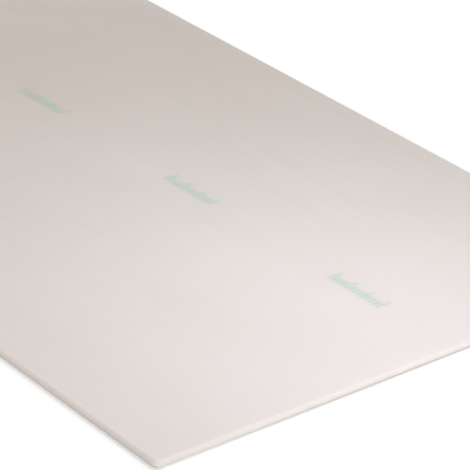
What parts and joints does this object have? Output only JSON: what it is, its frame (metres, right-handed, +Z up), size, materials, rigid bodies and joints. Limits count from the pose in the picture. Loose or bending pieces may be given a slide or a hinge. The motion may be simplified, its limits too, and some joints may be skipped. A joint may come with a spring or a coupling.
{
  "type": "insulation board",
  "caption": "Thin, flat, rectangular foam insulation board with rolled edges and rounded corners, laid under floors, behind wall finishes or cut up as lining.",
  "frame": {"origin": "middle of the face that the board lies on", "axes": "+X along the board, +Y across it, +Z up through its thickness"},
  "size_m": [1.25, 0.8, 0.006],
  "materials": {
    "foam_skin": "smooth satin skin of warm white extruded polystyrene foam",
    "print_ink": "thin pale green ink of the plain tick scales that are printed on the upper face"
  },
  "bodies": {
    "root": {"insulation_board": "foam_skin"}
  },
  "joints": []
}
